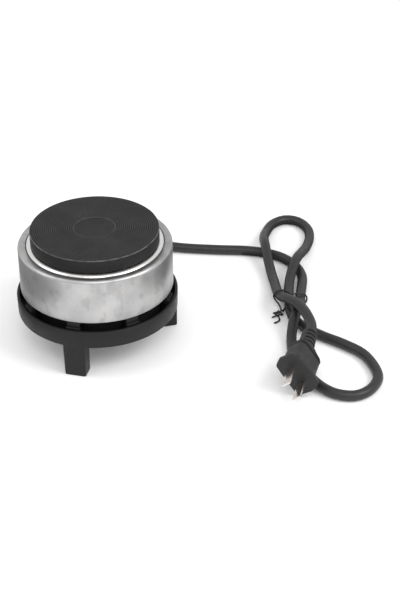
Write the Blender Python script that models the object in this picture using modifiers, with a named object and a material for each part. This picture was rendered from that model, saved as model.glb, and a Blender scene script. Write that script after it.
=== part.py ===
"""Small electric hot plate on a moulded base with three legs, its mains lead and its two-pin plug.

The origin is on the surface the hot plate stands on, under the middle of the plate.
+Z is up, -Y is the front, and the lead leaves through the rear wall of the base, towards +Y.
"""

import math

import bmesh
import bpy
from mathutils import Matrix, Vector

MM = 0.001

# Driving dimensions
PLATE_RADIUS = 45 * MM
PLATE_TOP = 87 * MM
PLATE_SIDE = 9.8 * MM
SHELL_RADIUS = 54 * MM
SHELL_BOTTOM = 43 * MM
SHELL_LIP = 76 * MM
SHELL_SHEET = 0.7 * MM
LEDGE = SHELL_LIP - 1.9 * MM
SEAM_RADIUS = 48.4 * MM
BASE_RADIUS = 57 * MM
BASE_TOP = 37.4 * MM
BASE_BOTTOM = 24.4 * MM
BASE_WALL = 2.2 * MM
BASE_DRAFT = 0.3 * MM
FLOOR_TOP = 27.2 * MM
CHAMBER_RADIUS = 47.4 * MM
WIRE_HOLE = 32 * MM
LEG_WIDTH = 16 * MM
LEG_DEPTH = 11 * MM
LEG_BEVEL = 1.6 * MM
LEG_ANGLE = -14.5
BLOCK_ANGLE = -15
BLOCK_COUNT = 8
BLOCK_WIDTH = 10 * MM
CORD_RADIUS = 3.7 * MM
CORD_HEIGHT = 32.3 * MM
RELIEF_END = 79 * MM
GAP = 0.3 * MM
BIG = 40
SMALL = 16

for old in list(bpy.data.objects):
    bpy.data.objects.remove(old)

PARTS = bpy.data.collections.new("hot_plate")
CUTTERS = bpy.data.collections.new("cutters")
bpy.context.scene.collection.children.link(PARTS)
bpy.context.scene.collection.children.link(CUTTERS)


# Materials

def material(name, colour, roughness, metallic=0.0):
    made = bpy.data.materials.new(name)
    made.use_nodes = True
    shader = made.node_tree.nodes["Principled BSDF"]
    shader.inputs["Base Color"].default_value = (*colour, 1)
    shader.inputs["Roughness"].default_value = roughness
    shader.inputs["Metallic"].default_value = metallic
    made.diffuse_color = (*colour, 1)
    return made


CAST_IRON = material("cast_iron", (0.045, 0.045, 0.045), 0.55, 0.6)
STAINLESS = material("stainless_steel", (0.62, 0.62, 0.61), 0.28, 1)
POLISHED = material("polished_steel", (0.75, 0.75, 0.74), 0.12, 1)
ZINC = material("zinc_plated_steel", (0.55, 0.56, 0.57), 0.38, 1)
BLACK_PLASTIC = material("black_plastic", (0.04, 0.04, 0.042), 0.45)
BLACK_RUBBER = material("black_rubber", (0.035, 0.035, 0.037), 0.5)
CERAMIC = material("ceramic", (0.82, 0.8, 0.74), 0.7)
CEMENT = material("magnesia_cement", (0.62, 0.58, 0.5), 0.95)
BRASS = material("brass", (0.7, 0.5, 0.2), 0.3, 1)
NICKEL = material("nickel", (0.68, 0.64, 0.6), 0.25, 1)
LIVE_SLEEVE = material("brown_insulation", (0.18, 0.07, 0.03), 0.5)
NEUTRAL_SLEEVE = material("blue_insulation", (0.04, 0.12, 0.4), 0.5)


# Making and joining shapes

def place(thing, collection, surface=None):
    collection.objects.link(thing)
    if surface:
        thing.data.materials.append(surface)
    if collection is CUTTERS:
        thing.hide_render = True
        thing.display_type = "WIRE"
    return thing


def smooth(mesh):
    mesh.shade_smooth()
    mesh.set_sharp_from_angle(angle=math.radians(35))


def mesh_object(name, build, collection, surface=None):
    """An object whose mesh is filled by build(bm)."""
    mesh = bpy.data.meshes.new(name)
    bm = bmesh.new()
    build(bm)
    bmesh.ops.recalc_face_normals(bm, faces=bm.faces)
    bm.to_mesh(mesh)
    bm.free()
    smooth(mesh)
    return place(bpy.data.objects.new(name, mesh), collection, surface)


def turned(name, profile, collection, surface=None, steps=BIG, sheet=0.0, closed=True):
    """A profile of (radius, height) points turned about Z. It runs down the outer side."""
    mesh = bpy.data.meshes.new(name)
    points = [(r, 0, z) for r, z in profile]
    edges = [(i, i + 1) for i in range(len(points) - 1)]
    if closed and points[0][0] > 0:
        edges.append((len(points) - 1, 0))
    mesh.from_pydata(points, edges, [])
    made = place(bpy.data.objects.new(name, mesh), collection, surface)
    screw = made.modifiers.new("Turn", "SCREW")
    screw.steps = screw.render_steps = steps
    screw.use_merge_vertices = True
    screw.merge_threshold = 0.00001
    screw.use_smooth_shade = False
    if sheet:
        wall = made.modifiers.new("Sheet", "SOLIDIFY")
        wall.thickness = sheet
        wall.offset = -1
    return made


def cylinder(name, radius, low, high, x, y, collection, surface=None, sides=SMALL):
    def build(bm):
        bmesh.ops.create_cone(bm, cap_ends=True, segments=sides, radius1=radius, radius2=radius,
                              depth=high - low,
                              matrix=Matrix.Translation((x, y, (low + high) / 2)))
    return mesh_object(name, build, collection, surface)


def box(name, size, centre, collection, surface=None, turn=None, bevel=0.0):
    def build(bm):
        bmesh.ops.create_cube(bm, size=1, matrix=Matrix.Diagonal((*size, 1)))
        if bevel:
            bmesh.ops.bevel(bm, geom=bm.edges[:], offset=bevel, segments=1, affect="EDGES")
        move = Matrix.Translation(centre)
        if turn:
            move = Matrix.Rotation(math.radians(turn), 4, "Z") @ move
        bmesh.ops.transform(bm, matrix=move, verts=bm.verts)
    return mesh_object(name, build, collection, surface)


def boolean(thing, other, operation):
    step = thing.modifiers.new(operation.title(), "BOOLEAN")
    step.operation = operation
    step.object = other
    step.solver = "EXACT"


def cut(thing, cutters):
    for cutter in cutters:
        boolean(thing, cutter, "DIFFERENCE")


def join(thing, others):
    for other in others:
        boolean(thing, other, "UNION")


def tube(name, points, radius, collection, surface, resolution=2):
    curve = bpy.data.curves.new(name, "CURVE")
    curve.dimensions = "3D"
    curve.bevel_depth = radius
    curve.bevel_resolution = resolution
    curve.use_fill_caps = True
    spline = curve.splines.new("POLY")
    spline.points.add(len(points) - 1)
    for point, target in zip(spline.points, points):
        point.co = (*target, 1)
    return place(bpy.data.objects.new(name, curve), collection, surface)


def strip(name, outline, depth, collection, surface):
    """A flat outline in (x, z), as thick as depth along Y and centred on y = 0."""
    curve = bpy.data.curves.new(name, "CURVE")
    curve.dimensions = "2D"
    curve.fill_mode = "BOTH"
    curve.extrude = depth / 2
    spline = curve.splines.new("POLY")
    spline.points.add(len(outline) - 1)
    for point, (x, z) in zip(spline.points, outline):
        point.co = (x, z, 0, 1)
    spline.use_cyclic_u = True
    made = place(bpy.data.objects.new(name, curve), collection, surface)
    made.rotation_euler.x = math.radians(90)
    return made


def as_mesh(thing):
    """Replaces a curve object by a closed mesh of the same shape, in world space."""
    bpy.context.view_layer.update()
    graph = bpy.context.evaluated_depsgraph_get()
    mesh = bpy.data.meshes.new_from_object(thing.evaluated_get(graph))
    mesh.transform(thing.matrix_world)
    bm = bmesh.new()
    bm.from_mesh(mesh)
    bmesh.ops.remove_doubles(bm, verts=bm.verts, dist=0.00001)
    bmesh.ops.recalc_face_normals(bm, faces=bm.faces)
    bm.to_mesh(mesh)
    bm.free()
    name, home = thing.name, thing.users_collection[0]
    bpy.data.objects.remove(thing)
    return place(bpy.data.objects.new(name, mesh), home)


def smooth_path(route, spacing):
    """Points about spacing apart on a smooth curve through the route's points."""
    points = [Vector(p) for p in route]
    points = [2 * points[0] - points[1]] + points + [2 * points[-1] - points[-2]]
    fine = []
    for a, b, c, d in zip(points, points[1:], points[2:], points[3:]):
        for step in range(16):
            t = step / 16
            fine.append(0.5 * (2 * b + (c - a) * t + (2 * a - 5 * b + 4 * c - d) * t ** 2
                               + (3 * b - a - 3 * c + d) * t ** 3))
    fine.append(points[-2])
    lengths = [0.0]
    for a, b in zip(fine, fine[1:]):
        lengths.append(lengths[-1] + (b - a).length)
    count = max(2, round(lengths[-1] / spacing))
    path, i = [], 0
    for n in range(count + 1):
        target = lengths[-1] * n / count
        while i < len(fine) - 2 and lengths[i + 1] < target:
            i += 1
        share = (target - lengths[i]) / (lengths[i + 1] - lengths[i])
        path.append(fine[i].lerp(fine[i + 1], share))
    return path


def around(radius, degrees):
    """The point at that radius and angle, where 0 is the front and 90 is the right."""
    a = math.radians(degrees)
    return radius * math.sin(a), -radius * math.cos(a)


# The cooking plate and what is cast into it

COIL_HEIGHT = 79.6 * MM
COIL_RADIUS = 2 * MM
CHANNEL_IN = 16 * MM
CHANNEL_OUT = 40 * MM
CHANNEL_TOP = 82 * MM
PLATE_BACK = 76 * MM
PLATE_STEP = 43.6 * MM
STUD_RADIUS = 2.5 * MM
STUD_LOW = 51.5 * MM
PIN_PLACES = {"inner": 20 * MM, "outer": 34 * MM}
PIN_RADIUS = 1.5 * MM
PIN_LOW = 63.5 * MM
PIN_TOP = 77.3 * MM


def make_plate():
    recess, recess_depth, edge = 14.3 * MM, 0.4 * MM, 0.7 * MM
    side_low = PLATE_TOP - PLATE_SIDE
    profile = [(0, PLATE_TOP - recess_depth), (recess, PLATE_TOP - recess_depth),
               (recess + recess_depth, PLATE_TOP), (PLATE_RADIUS - edge, PLATE_TOP),
               (PLATE_RADIUS, PLATE_TOP - edge), (PLATE_RADIUS, side_low), (PLATE_STEP, side_low),
               (PLATE_STEP, PLATE_BACK), (CHANNEL_OUT, PLATE_BACK), (CHANNEL_OUT, CHANNEL_TOP),
               (CHANNEL_IN, CHANNEL_TOP), (CHANNEL_IN, PLATE_BACK), (0, PLATE_BACK)]
    plate = turned("hotplate", profile, PARTS, CAST_IRON)
    hole = cylinder("cut_stud_hole", STUD_RADIUS + GAP, PLATE_BACK - 2 * MM, CHANNEL_TOP, 0, 0, CUTTERS)
    cut(plate, [hole])


def make_coil():
    turns, per_turn = 2, 20
    start, end = PIN_PLACES["inner"], PIN_PLACES["outer"]
    points = []
    for n in range(turns * per_turn + 1):
        share = n / (turns * per_turn)
        radius = start + (end - start) * share
        a = math.radians(90) + 2 * math.pi * turns * share
        points.append((radius * math.cos(a), radius * math.sin(a), COIL_HEIGHT))
    tube("heating_coil", points, COIL_RADIUS, PARTS, NICKEL)


def pin_holes(prefix, radius, low, high):
    return [cylinder(f"{prefix}_{name}", radius, low, high, 0, y, CUTTERS, sides=12)
            for name, y in PIN_PLACES.items()]


def make_plate_back():
    filling_low, filling_high = 76.2 * MM, 77.2 * MM
    cover_low, cover_high = 75.1 * MM, 75.7 * MM
    bead_low, bead_radius = 70 * MM, 3.2 * MM
    filling = turned("cement_filling", [(CHANNEL_IN + GAP, filling_high), (CHANNEL_OUT - GAP, filling_high),
                                        (CHANNEL_OUT - GAP, filling_low), (CHANNEL_IN + GAP, filling_low)],
                     PARTS, CEMENT)
    cut(filling, pin_holes("cut_filling", PIN_RADIUS + GAP, filling_low - MM, filling_high + MM))
    cover_radius = CHANNEL_OUT + 0.6 * MM
    cover = turned("plate_back_cover", [(STUD_RADIUS + GAP, cover_high), (cover_radius, cover_high),
                                        (cover_radius, cover_low), (STUD_RADIUS + GAP, cover_low)],
                   PARTS, ZINC)
    cut(cover, pin_holes("cut_cover", bead_radius + GAP, cover_low - MM, cover_high + MM))
    for name, y in PIN_PLACES.items():
        cylinder(f"heater_pin_{name}", PIN_RADIUS, PIN_LOW, PIN_TOP, 0, y, PARTS, NICKEL, sides=12)
        inside = PIN_RADIUS + GAP
        bead = turned(f"pin_insulator_{name}",
                      [(inside, cover_high + 0.2 * MM), (bead_radius, cover_high + 0.2 * MM),
                       (bead_radius, bead_low), (inside, bead_low)], PARTS, CERAMIC, 12)
        bead.location.y = y


# What clamps the plate to the shell

BRIDGE_TOP = 62 * MM
BRIDGE_SHEET = 2 * MM
THERMOSTAT_Y = -26 * MM
THERMOSTAT_RADIUS = 8 * MM
ARM_TOP = 67.6 * MM
ARM_SHEET = 0.4 * MM
ARM_LENGTH = 8 * MM
ARM_PIVOT_X = -4.2 * MM
CONTACT_PLACES = {"left": ARM_PIVOT_X, "right": 4.4 * MM}
CONTACT_LOW = 59.5 * MM


def make_clamp():
    stud_top = CHANNEL_TOP - GAP
    cylinder("centre_stud", STUD_RADIUS, STUD_LOW, stud_top, 0, 0, PARTS, ZINC)
    arm, foot = 45 * MM, 47.5 * MM
    foot_top = LEDGE - SHELL_SHEET - GAP
    wide = 14 * MM
    low = BRIDGE_TOP - BRIDGE_SHEET
    half = [(arm, low), (arm, foot_top - BRIDGE_SHEET), (foot, foot_top - BRIDGE_SHEET), (foot, foot_top),
            (arm - BRIDGE_SHEET, foot_top), (arm - BRIDGE_SHEET, BRIDGE_TOP)]
    outline = half + [(-x, z) for x, z in reversed(half)]
    bridge = as_mesh(strip("clamp_bridge", outline, wide, PARTS, ZINC))
    cut(bridge, [cylinder("cut_bridge", STUD_RADIUS + GAP, low - MM, BRIDGE_TOP + MM, 0, 0, CUTTERS)])
    inside = STUD_RADIUS + GAP
    washer_top = low - GAP
    washer_low = washer_top - 1.1 * MM
    turned("spring_washer", [(inside, washer_top), (4.8 * MM, washer_top), (4.8 * MM, washer_low),
                             (inside, washer_low)], PARTS, ZINC, SMALL)
    nut_top = washer_low - GAP
    nut_low = nut_top - 4.5 * MM
    nut = cylinder("clamp_nut", 5.1 * MM, nut_low, nut_top, 0, 0, PARTS, ZINC, sides=6)
    cut(nut, [cylinder("cut_nut", inside, nut_low - MM, nut_top + MM, 0, 0, CUTTERS)])


def make_heat_shield():
    middle = BRIDGE_TOP + GAP
    sheet = 0.6 * MM
    profile = [(STUD_RADIUS + GAP, middle + sheet), (13 * MM, middle + sheet), (18 * MM, middle + 4.6 * MM),
               (41 * MM, middle + 6 * MM), (41.6 * MM, middle + 8 * MM)]
    shield = turned("heat_shield", profile, PARTS, STAINLESS, sheet=sheet, closed=False)
    holes = pin_holes("cut_shield", PIN_RADIUS + 2 * MM, middle, middle + 10 * MM)
    holes.append(cylinder("cut_shield_thermostat", THERMOSTAT_RADIUS + MM, middle, middle + 10 * MM,
                          0, THERMOSTAT_Y, CUTTERS))
    cut(shield, holes)


# The outer shell and the ring between it and the plate

def make_shell():
    corner, shoulder, ledge_in = 0.4 * MM, 2.2 * MM, 41.9 * MM
    profile = [(ledge_in, LEDGE), (SEAM_RADIUS - corner, LEDGE), (SEAM_RADIUS, LEDGE + corner),
               (SEAM_RADIUS, SHELL_LIP - corner), (SEAM_RADIUS + corner, SHELL_LIP)]
    for n in range(5):
        a = math.radians(90 - 22.5 * n)
        profile.append((SHELL_RADIUS - shoulder + shoulder * math.cos(a),
                        SHELL_LIP - shoulder + shoulder * math.sin(a)))
    profile += [(SHELL_RADIUS, SHELL_BOTTOM + 0.6 * MM), (SHELL_RADIUS - 0.4 * MM, SHELL_BOTTOM)]
    turned("shell", profile, PARTS, STAINLESS, sheet=SHELL_SHEET, closed=False)
    inner, outer = PLATE_STEP + GAP, SEAM_RADIUS - GAP
    low, high = LEDGE + GAP, PLATE_TOP - PLATE_SIDE - GAP
    turned("spill_ring", [(inner, high), (46.2 * MM, high), (47.4 * MM, high - 0.5 * MM),
                          (outer, high - 1.3 * MM), (outer, low), (inner, low)], PARTS, POLISHED)
    pan_low, pan_high = 44.4 * MM, 45.2 * MM
    rim = SHELL_RADIUS - SHELL_SHEET - 0.5 * MM
    rim_in, rim_low = rim - (pan_high - pan_low), SHELL_BOTTOM + GAP
    pan = turned("shell_floor", [(WIRE_HOLE, pan_high), (rim, pan_high), (rim, rim_low), (rim_in, rim_low),
                                 (rim_in, pan_low), (WIRE_HOLE, pan_low)], PARTS, ZINC)
    holes = []
    for n in range(3):
        x, y = around(SCREW_CIRCLE, SCREW_ANGLE + 120 * n)
        holes.append(cylinder(f"cut_pan_{n}", SCREW_RADIUS + GAP, pan_low - MM, pan_high + MM, x, y, CUTTERS,
                              sides=12))
    cut(pan, holes)


# The thermostat that limits the plate's temperature

def make_thermostat():
    cap_top, cap_low, body_low, body_top = 74.7 * MM, 69.6 * MM, 62.5 * MM, 72 * MM
    wall, skin, clear = 1.3 * MM, 0.5 * MM, 0.1 * MM
    floor = body_low + 1.6 * MM
    cap_in = THERMOSTAT_RADIUS - skin
    body_radius = THERMOSTAT_RADIUS - 0.7 * MM - GAP
    inside = body_radius + GAP - wall
    body = turned("thermostat_body", [(0, floor), (inside, floor), (inside, body_top),
                                      (body_radius, body_top), (body_radius, body_low), (0, body_low)],
                  PARTS, CERAMIC, SMALL)
    cap = turned("thermostat_cap", [(0, cap_top), (THERMOSTAT_RADIUS, cap_top), (THERMOSTAT_RADIUS, cap_low),
                                    (cap_in, cap_low), (cap_in, cap_top - skin), (0, cap_top - skin)],
                 PARTS, STAINLESS, SMALL)
    disc_top, disc_radius, disc_sheet, dish = 73.1 * MM, 6.6 * MM, 0.3 * MM, 0.5 * MM
    disc_low = disc_top - disc_sheet
    disc = turned("bimetal_disc", [(0, disc_top), (disc_radius, disc_top - dish),
                                   (disc_radius, disc_low - dish), (0, disc_low)], PARTS, NICKEL, SMALL)
    for made in (body, cap, disc):
        made.location.y = THERMOSTAT_Y
    post_radius = 0.9 * MM
    cylinder("transfer_pin", post_radius, ARM_TOP + clear, disc_low - 2 * clear, 0, THERMOSTAT_Y, PARTS,
             CERAMIC, sides=12)
    box("contact_arm", (ARM_LENGTH, 2.6 * MM, ARM_SHEET),
        (ARM_PIVOT_X + ARM_LENGTH / 2 - MM, THERMOSTAT_Y, ARM_TOP - ARM_SHEET / 2), PARTS, BRASS)
    lip_low = ARM_TOP + GAP
    lip_high = lip_low + 0.7 * MM
    tops = {"left": ARM_TOP - ARM_SHEET - GAP, "right": lip_high}
    for name, x in CONTACT_PLACES.items():
        hole = cylinder(f"cut_contact_{name}", post_radius + 0.4 * MM, body_low - MM, floor + MM, x,
                        THERMOSTAT_Y, CUTTERS, sides=12)
        cut(body, [hole])
        post = cylinder(f"thermostat_contact_{name}", post_radius, CONTACT_LOW, tops[name], x, THERMOSTAT_Y,
                        PARTS, BRASS, sides=12)
        if name == "right":
            lip = box("join_contact_lip", (3.4 * MM, 2.4 * MM, 0.68 * MM),
                      (x - 1.2 * MM, THERMOSTAT_Y, lip_low + 0.34 * MM), CUTTERS)
            join(post, [lip])


# The moulded base

SCREW_CIRCLE = 43 * MM
SCREW_ANGLE = 20
SCREW_RADIUS = 1.5 * MM
BOSS_RADIUS = 4 * MM
BOSS_TOP = 44.1 * MM
HEAD_SEAT = 29.6 * MM
HEAD_HOLE = 3.1 * MM
POST_IN, POST_OUT = 47 * MM, 52.8 * MM
LEDGE_IN, LEDGE_OUT = 50 * MM, 54.1 * MM
VENT_COUNT = 12
VENT = (3 * MM, 14 * MM, 10 * MM)
VENT_Y = -22 * MM


def cord_way(name, radius, front, back):
    """A cylinder that lies along the lead's axis inside the base."""
    made = cylinder(name, radius, front, back, 0, 0, CUTTERS)
    made.data.transform(Matrix.Translation((0, 0, CORD_HEIGHT)) @ Matrix.Rotation(math.radians(-90), 4, "X"))
    return made


def make_base():
    top_in = BASE_RADIUS - BASE_WALL
    foot = BASE_RADIUS - BASE_DRAFT
    round_edge = 0.5 * MM
    chamber_in, chamber_top = CHAMBER_RADIUS - 1.4 * MM, BOSS_TOP - 0.4 * MM
    profile = [(0, FLOOR_TOP), (chamber_in, FLOOR_TOP), (chamber_in, chamber_top),
               (CHAMBER_RADIUS, chamber_top), (CHAMBER_RADIUS, FLOOR_TOP), (top_in, FLOOR_TOP),
               (top_in, BASE_TOP), (BASE_RADIUS - round_edge, BASE_TOP), (BASE_RADIUS, BASE_TOP - round_edge),
               (foot, BASE_BOTTOM + round_edge), (foot - round_edge, BASE_BOTTOM), (0, BASE_BOTTOM)]
    base = turned("base", profile, PARTS, BLACK_PLASTIC)
    pieces = []
    block_top = SHELL_BOTTOM - GAP
    for n in range(BLOCK_COUNT):
        turn = BLOCK_ANGLE + 360 / BLOCK_COUNT * n
        for part, wide, inner, outer, low, high in (
                ("post", BLOCK_WIDTH - 0.8 * MM, POST_IN, POST_OUT, FLOOR_TOP - MM, block_top),
                ("ledge", BLOCK_WIDTH, LEDGE_IN, LEDGE_OUT, FLOOR_TOP - 0.8 * MM, BASE_TOP + MM)):
            pieces.append(box(f"join_block_{part}_{n}", (wide, outer - inner, high - low),
                              (0, -(inner + outer) / 2, (low + high) / 2), CUTTERS, turn=turn))
    leg_top = FLOOR_TOP - 0.6 * MM
    leg_y = LEG_DEPTH / 2 - (foot - BASE_DRAFT)
    for n in range(3):
        pieces.append(box(f"join_leg_{n}", (LEG_WIDTH, LEG_DEPTH, leg_top), (0, leg_y, leg_top / 2), CUTTERS,
                          turn=LEG_ANGLE + 120 * n, bevel=LEG_BEVEL))
        pieces.append(cylinder(f"join_boss_{n}", BOSS_RADIUS, FLOOR_TOP - 1.2 * MM, BOSS_TOP,
                               *around(SCREW_CIRCLE, SCREW_ANGLE + 120 * n), CUTTERS))
    join(base, pieces)
    cuts = []
    for n in range(3):
        x, y = around(SCREW_CIRCLE, SCREW_ANGLE + 120 * n)
        cuts.append(cylinder(f"cut_boss_{n}", SCREW_RADIUS + GAP, BASE_BOTTOM - MM, BOSS_TOP + MM, x, y,
                             CUTTERS, sides=12))
        cuts.append(cylinder(f"cut_head_{n}", HEAD_HOLE, BASE_BOTTOM - 2 * MM, HEAD_SEAT, x, y, CUTTERS,
                             sides=12))
    for n in range(VENT_COUNT):
        cuts.append(box(f"cut_vent_{n}", VENT, (0, VENT_Y, BASE_BOTTOM), CUTTERS,
                        turn=LEG_ANGLE + 360 / VENT_COUNT * n))
    cuts.append(cord_way("cut_cord_hole", RELIEF_NECK + GAP, 45 * MM, 65 * MM))
    cuts.append(cord_way("cut_chamber_hole", BORE + 0.4 * MM, 40 * MM, 49 * MM))
    cut(base, cuts)


def screw(name, x, y, seat, length, head_radius, head, surface, up=True):
    """A pan-head screw whose head bears at height seat. Its thread points up, or down."""
    way = 1 if up else -1
    profile = [(0, length), (SCREW_RADIUS, length), (SCREW_RADIUS, 0), (head_radius, 0),
               (head_radius, -head * 0.6), (head_radius * 0.7, -head), (0, -head)]
    if not up:
        profile = [(r, -z) for r, z in reversed(profile)]
    made = turned(name, profile, PARTS, surface, 12)
    made.location = (x, y, seat)
    return made


def make_base_screws():
    for n in range(3):
        x, y = around(SCREW_CIRCLE, SCREW_ANGLE + 120 * n)
        screw(f"base_screw_{n + 1}", x, y, HEAD_SEAT - GAP, 18 * MM, 2.8 * MM, 2 * MM, ZINC)


# Cord entry, cord clamp and terminal block

RELIEF_NECK = 4.5 * MM
BORE = CORD_RADIUS + GAP
CLAMP_Y = 40 * MM
TAIL_END = 34.5 * MM
BLOCK_Y = 16 * MM
BLOCK_HALF = 6 * MM
BLOCK_LOW = FLOOR_TOP + GAP
BLOCK_HIGH = BLOCK_LOW + 11 * MM


def make_cord_entry():
    wall_in = BASE_RADIUS - BASE_WALL
    front, neck_front = wall_in - 2.8 * MM, wall_in - 0.9 * MM
    out = BASE_RADIUS + GAP
    flange, flange_in = 6.9 * MM, 4.8 * MM
    outside = [(flange, out), (flange, out + 1.6 * MM), (5.9 * MM, out + 2.2 * MM)]
    rings = 4
    for n in range(rings):
        start = out + 3 * MM + n * 4.4 * MM
        radius = 5.8 * MM - n * 0.3 * MM
        outside += [(radius - 0.6 * MM, start), (radius, start + 0.7 * MM), (radius, start + 3 * MM),
                    (radius - 0.6 * MM, start + 3.6 * MM)]
    outside += [(CORD_RADIUS + 0.9 * MM, RELIEF_END)]
    inside = [(flange_in, front), (flange_in, neck_front), (RELIEF_NECK, neck_front), (RELIEF_NECK, out)]
    profile = [(BORE, front)] + inside + outside + [(BORE, RELIEF_END)]
    relief = turned("strain_relief", profile[::-1], PARTS, BLACK_RUBBER, SMALL)
    tail = turned("cord_tail", [(0, RELIEF_END - GAP), (CORD_RADIUS, RELIEF_END - GAP),
                                (CORD_RADIUS, TAIL_END), (0, TAIL_END)], PARTS, BLACK_RUBBER, 12)
    for made in (relief, tail):
        made.rotation_euler.x = math.radians(-90)
        made.location.z = CORD_HEIGHT


def make_cord_clamp():
    wide, deep = 19 * MM, 6 * MM
    low, middle, high = FLOOR_TOP + GAP, CORD_HEIGHT, CORD_HEIGHT + CORD_RADIUS + 2.2 * MM
    saddle = box("clamp_saddle", (wide, deep, middle - GAP - low), (0, CLAMP_Y, (low + middle - GAP) / 2),
                 PARTS, BLACK_PLASTIC)
    strap = box("cord_clamp", (wide, deep, high - middle), (0, CLAMP_Y, (high + middle) / 2), PARTS,
                BLACK_PLASTIC)
    groove = cord_way("cut_clamp_groove", BORE, CLAMP_Y - 8 * MM, CLAMP_Y + 8 * MM)
    for n, x in enumerate((-6.6 * MM, 6.6 * MM)):
        hole = cylinder(f"cut_clamp_{n}", SCREW_RADIUS + GAP, low + MM, high + MM, x, CLAMP_Y, CUTTERS,
                        sides=12)
        cut(saddle, [hole])
        cut(strap, [hole])
        screw(f"clamp_screw_{n + 1}", x, CLAMP_Y, high + GAP, 7 * MM, 2.6 * MM, 1.8 * MM, ZINC, up=False)
    cut(saddle, [groove])
    cut(strap, [groove])


def make_terminal_block():
    block = box("terminal_block", (24 * MM, 2 * BLOCK_HALF, BLOCK_HIGH - BLOCK_LOW),
                (0, BLOCK_Y, (BLOCK_LOW + BLOCK_HIGH) / 2), PARTS, CERAMIC, bevel=0.6 * MM)
    for n in range(4):
        x = (-6.5 * MM, 6.5 * MM)[n % 2]
        y = BLOCK_Y + (-3 * MM, 3 * MM)[n // 2]
        hole = cylinder(f"cut_block_{n}", SCREW_RADIUS + GAP, BLOCK_HIGH - 6 * MM, BLOCK_HIGH + MM, x, y,
                        CUTTERS, sides=12)
        cut(block, [hole])
        screw(f"terminal_screw_{n + 1}", x, y, BLOCK_HIGH + GAP, 5 * MM, 2.2 * MM, 1.6 * MM, BRASS, up=False)


def make_wires():
    core = 1.1 * MM
    block_face = BLOCK_Y + BLOCK_HALF + GAP
    block_front = BLOCK_Y - BLOCK_HALF - GAP
    height = BLOCK_LOW + 4 * MM
    pin_end = PIN_LOW - GAP
    stat_end = CONTACT_LOW - GAP
    contact_left, contact_right = CONTACT_PLACES.values()
    for side, name, sleeve in ((-1, "live", LIVE_SLEEVE), (1, "neutral", NEUTRAL_SLEEVE)):
        route = [(side * 1.5 * MM, TAIL_END - GAP, CORD_HEIGHT),
                 (side * 2 * MM, TAIL_END - 4 * MM, CORD_HEIGHT),
                 (side * 5.5 * MM, block_face + 4 * MM, height), (side * 6.5 * MM, block_face, height)]
        tube(f"{name}_lead", smooth_path(route, 2.5 * MM), core, PARTS, sleeve)
    outer, inner = PIN_PLACES["outer"], PIN_PLACES["inner"]
    neutral = [(6.5 * MM, block_front, height), (6.8 * MM, block_front - 4 * MM, height),
               (12 * MM, 4 * MM, 38 * MM), (19 * MM, 12 * MM, 47 * MM), (14 * MM, 30 * MM, 55 * MM),
               (4 * MM, outer, 57.5 * MM), (0, outer, pin_end - 3 * MM), (0, outer, pin_end)]
    tube("neutral_heater_wire", smooth_path(neutral, 4 * MM), core, PARTS, NEUTRAL_SLEEVE)
    live = [(-6.5 * MM, block_front, height), (-6.8 * MM, block_front - 4 * MM, height),
            (-9 * MM, 0, 36 * MM), (-11 * MM, -12 * MM, 46 * MM), (-7 * MM, -21 * MM, 52 * MM),
            (contact_left, THERMOSTAT_Y, stat_end - 3 * MM), (contact_left, THERMOSTAT_Y, stat_end)]
    tube("live_thermostat_wire", smooth_path(live, 4 * MM), core, PARTS, LIVE_SLEEVE)
    link = [(contact_right, THERMOSTAT_Y, stat_end), (contact_right, THERMOSTAT_Y, stat_end - 3 * MM),
            (6.5 * MM, -22 * MM, 53 * MM), (13 * MM, -10 * MM, 52 * MM),
            (14 * MM, 4 * MM, 53 * MM), (8 * MM, 17 * MM, 56.5 * MM), (0, inner, 60 * MM),
            (0, inner, pin_end)]
    tube("thermostat_heater_wire", smooth_path(link, 4 * MM), core, PARTS, LIVE_SLEEVE)


# The lead, its tie and its plug

CORD_ROUTE = [
    (0, 79.3, 32.3), (0, 86, 32.3), (3.4, 96.5, 28.6), (13, 106.5, 19.8), (28, 111.8, 10.6),
    (44, 112.4, 5.4), (62, 110.2, 3.9), (88, 107.3, 3.9), (108, 105.8, 3.9), (124, 101.8, 3.9),
    (137.6, 93.6, 3.9), (147, 80, 3.9), (150.3, 66, 4.1), (149, 50, 5.2), (147.3, 37.5, 5.7),
    (146.8, 28, 6.3), (146.2, 18.5, 9.4), (143.4, 9, 11.6), (140.6, -1, 11.4), (138.2, -12, 7),
    (137.4, -22, 4.2), (137.8, -34, 3.9), (140.6, -46, 3.9), (146.4, -60.5, 3.9), (154.4, -74.5, 3.9),
    (164.6, -83.3, 3.9), (177.6, -85.2, 3.9), (189, -77, 3.9), (194.6, -61.3, 3.9), (188, -38.3, 3.9),
    (174.5, -24.3, 3.9), (160, -13.8, 3.9), (149, -3.6, 3.9), (141.6, 7.6, 3.9), (138.8, 20, 4.4),
    (138.6, 34, 5.7), (139.2, 47, 6), (141, 60, 8), (144.2, 71.5, 11.4), (147.6, 82, 11.8),
    (151.6, 94, 8.6), (156, 108, 5), (159.6, 123, 3.9), (159.4, 137.6, 3.9), (152.6, 150, 3.9),
    (141.6, 153.4, 3.9), (131.2, 146, 3.9), (125.6, 131.5, 4.8), (123.3, 115, 9.6), (123.6, 101, 11.9),
    (125.2, 84, 8.8), (127.2, 68, 6), (129, 52, 6.8), (130.2, 37, 9.4), (132, 25.5, 12.8),
    (138, 13, 17.9), (143.7, 2.2, 20.2), (148.2, -9.4, 20.4), (150.9, -21.8, 19.6),
]
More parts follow.
